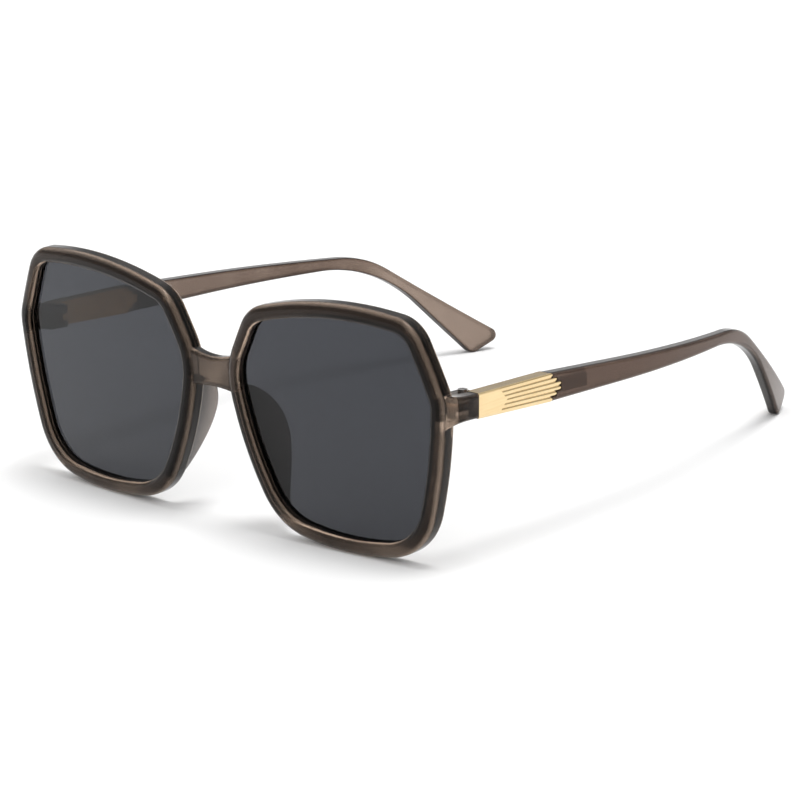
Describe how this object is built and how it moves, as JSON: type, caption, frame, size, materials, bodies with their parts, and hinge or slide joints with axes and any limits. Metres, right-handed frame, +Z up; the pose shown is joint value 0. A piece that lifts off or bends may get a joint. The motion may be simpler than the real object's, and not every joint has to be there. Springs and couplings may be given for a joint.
{
  "type": "oversized sunglasses",
  "caption": "Oversized geometric sunglasses with a translucent moulded front, dark tinted lenses, ribbed gold ferrules at the hinges and slim temples that fold inward.",
  "frame": {"origin": "on the table under the centre of the open glasses' footprint, with the rims and the temple tips standing on z = 0", "axes": "+X to the wearer's left, +Y from the front towards the temple tips, +Z up"},
  "size_m": [0.144, 0.1516, 0.059],
  "materials": {
    "frame_plastic": "translucent satin grey-taupe",
    "pad_plastic": "translucent satin taupe",
    "lens_tint": "polished dark grey tint",
    "gold_plate": "polished pale gold",
    "screw_steel": "bright"
  },
  "bodies": {
    "front": {"front_frame": "frame_plastic", "left_lens": "lens_tint", "left_nose_pad": "pad_plastic", "left_hinge_screw": "screw_steel", "right_lens": "lens_tint", "right_nose_pad": "pad_plastic", "right_hinge_screw": "screw_steel"},
    "left_arm": {"left_ferrule": "gold_plate", "left_temple": "frame_plastic"},
    "right_arm": {"right_ferrule": "gold_plate", "right_temple": "frame_plastic"}
  },
  "joints": [
    {"name": "left_fold", "type": "hinge", "parent": "front", "child": "left_arm", "pos_m": [0.0664, -0.06103, 0.03733], "axis": [0, 0.0638, 0.998], "range_deg": [0, 84]},
    {"name": "right_fold", "type": "hinge", "parent": "front", "child": "right_arm", "pos_m": [-0.0664, -0.06103, 0.03733], "axis": [0, -0.0638, -0.998], "range_deg": [0, 74]}
  ]
}
